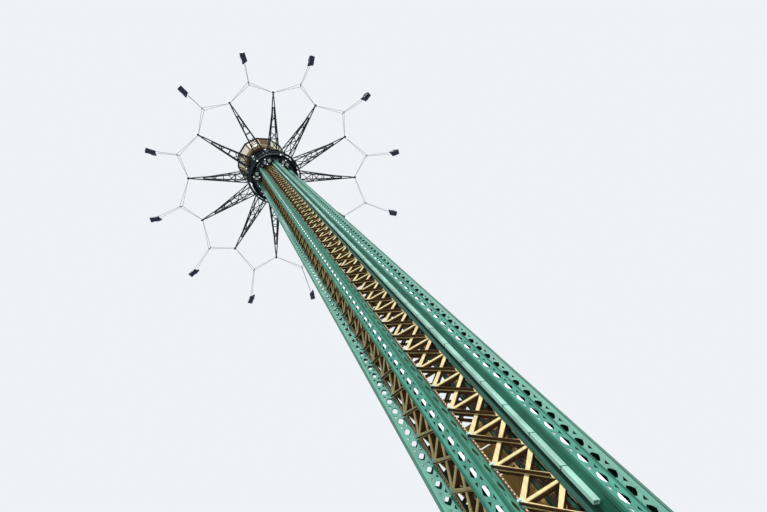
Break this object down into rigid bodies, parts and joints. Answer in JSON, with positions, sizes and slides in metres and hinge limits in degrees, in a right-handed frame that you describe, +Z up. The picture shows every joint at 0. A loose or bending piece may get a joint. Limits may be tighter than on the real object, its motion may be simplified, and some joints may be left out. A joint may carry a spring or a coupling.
{
  "type": "swing tower ride, 1:10 scale model",
  "caption": "Tall lattice tower of laced green columns with a lifting, turning hub whose tapered arms carry double chair swings on ropes.",
  "frame": {"origin": "centre of the base plate's lower face, on the tower's axis", "axes": "+Z up along the tower; -Y is the lattice face seen in the picture; +X to its right"},
  "size_m": [3.0246, 3.0246, 11.7],
  "materials": {
    "patina_paint": "aged green paint, satin",
    "gold_paint": "cream gold paint, satin",
    "gold_leaf": "gold metallic paint",
    "cream_paint": "cream paint, satin",
    "dark_paint": "near-black blue-green paint, satin",
    "roller_rubber": "solid rubber tread",
    "white_lens": "opal white lamp cover",
    "steel_rope": "galvanised wire rope",
    "seat_shell": "dark navy moulded shell"
  },
  "bodies": {
    "root": {"base_frame": "patina_paint", "light_tubes": "white_lens", "hoist_ropes": "steel_rope", "guide_rails": "patina_paint", "head_platform": "patina_paint", "head_house": "gold_paint", "head_cove": "cream_paint", "head_roof": "gold_leaf", "mast": "dark_paint", "column_0": "patina_paint", "column_60": "patina_paint", "column_120": "patina_paint", "column_180": "patina_paint", "column_240": "patina_paint", "column_300": "patina_paint", "lattice_30": "gold_paint", "lattice_90": "gold_paint", "lattice_150": "gold_paint", "lattice_210": "gold_paint", "lattice_270": "gold_paint", "lattice_330": "gold_paint"},
    "carriage": {"carriage_frame": "dark_paint", "guide_rollers": "roller_rubber"},
    "rotor": {"slewing_ring": "dark_paint", "hub_frame": "dark_paint", "arms": "dark_paint", "tip_lamps": "white_lens"},
    "swing_1": {"ropes_1": "steel_rope", "seat_1": "seat_shell"},
    "swing_2": {"ropes_2": "steel_rope", "seat_2": "seat_shell"},
    "swing_3": {"ropes_3": "steel_rope", "seat_3": "seat_shell"},
    "swing_4": {"ropes_4": "steel_rope", "seat_4": "seat_shell"},
    "swing_5": {"ropes_5": "steel_rope", "seat_5": "seat_shell"},
    "swing_6": {"ropes_6": "steel_rope", "seat_6": "seat_shell"},
    "swing_7": {"ropes_7": "steel_rope", "seat_7": "seat_shell"},
    "swing_8": {"ropes_8": "steel_rope", "seat_8": "seat_shell"},
    "swing_9": {"ropes_9": "steel_rope", "seat_9": "seat_shell"},
    "swing_10": {"ropes_10": "steel_rope", "seat_10": "seat_shell"},
    "swing_11": {"ropes_11": "steel_rope", "seat_11": "seat_shell"},
    "swing_12": {"ropes_12": "steel_rope", "seat_12": "seat_shell"}
  },
  "joints": [
    {"name": "lift", "type": "slide", "parent": "root", "child": "carriage", "axis": [0, 0, 1], "range_m": [-6.75, 1.2]},
    {"name": "spin", "type": "hinge", "parent": "carriage", "child": "rotor", "pos_m": [0, 0, 7.79], "axis": [0, 0, 1], "continuous": true},
    {"name": "swing_1_hinge", "type": "hinge", "parent": "rotor", "child": "swing_1", "pos_m": [1.0102, 0.21841, 7.798], "axis": [0.2113, -0.9774, 0], "range_deg": [-45, 12]},
    {"name": "swing_2_hinge", "type": "hinge", "parent": "rotor", "child": "swing_2", "pos_m": [0.76565, 0.69425, 7.798], "axis": [0.6717, -0.7408, 0], "range_deg": [-45, 12]},
    {"name": "swing_3_hinge", "type": "hinge", "parent": "rotor", "child": "swing_3", "pos_m": [0.31595, 0.98406, 7.798], "axis": [0.9521, -0.3057, 0], "range_deg": [-45, 12]},
    {"name": "swing_4_hinge", "type": "hinge", "parent": "rotor", "child": "swing_4", "pos_m": [-0.21841, 1.0102, 7.798], "axis": [0.9774, 0.2113, 0], "range_deg": [-45, 12]},
    {"name": "swing_5_hinge", "type": "hinge", "parent": "rotor", "child": "swing_5", "pos_m": [-0.69425, 0.76565, 7.798], "axis": [0.7408, 0.6717, 0], "range_deg": [-45, 12]},
    {"name": "swing_6_hinge", "type": "hinge", "parent": "rotor", "child": "swing_6", "pos_m": [-0.98406, 0.31595, 7.798], "axis": [0.3057, 0.9521, 0], "range_deg": [-45, 12]},
    {"name": "swing_7_hinge", "type": "hinge", "parent": "rotor", "child": "swing_7", "pos_m": [-1.0102, -0.21841, 7.798], "axis": [-0.2113, 0.9774, 0], "range_deg": [-45, 12]},
    {"name": "swing_8_hinge", "type": "hinge", "parent": "rotor", "child": "swing_8", "pos_m": [-0.76565, -0.69425, 7.798], "axis": [-0.6717, 0.7408, 0], "range_deg": [-45, 12]},
    {"name": "swing_9_hinge", "type": "hinge", "parent": "rotor", "child": "swing_9", "pos_m": [-0.31595, -0.98406, 7.798], "axis": [-0.9521, 0.3057, 0], "range_deg": [-45, 12]},
    {"name": "swing_10_hinge", "type": "hinge", "parent": "rotor", "child": "swing_10", "pos_m": [0.21841, -1.0102, 7.798], "axis": [-0.9774, -0.2113, 0], "range_deg": [-45, 12]},
    {"name": "swing_11_hinge", "type": "hinge", "parent": "rotor", "child": "swing_11", "pos_m": [0.69425, -0.76565, 7.798], "axis": [-0.7408, -0.6717, 0], "range_deg": [-45, 12]},
    {"name": "swing_12_hinge", "type": "hinge", "parent": "rotor", "child": "swing_12", "pos_m": [0.98406, -0.31595, 7.798], "axis": [-0.3057, -0.9521, 0], "range_deg": [-45, 12]}
  ]
}
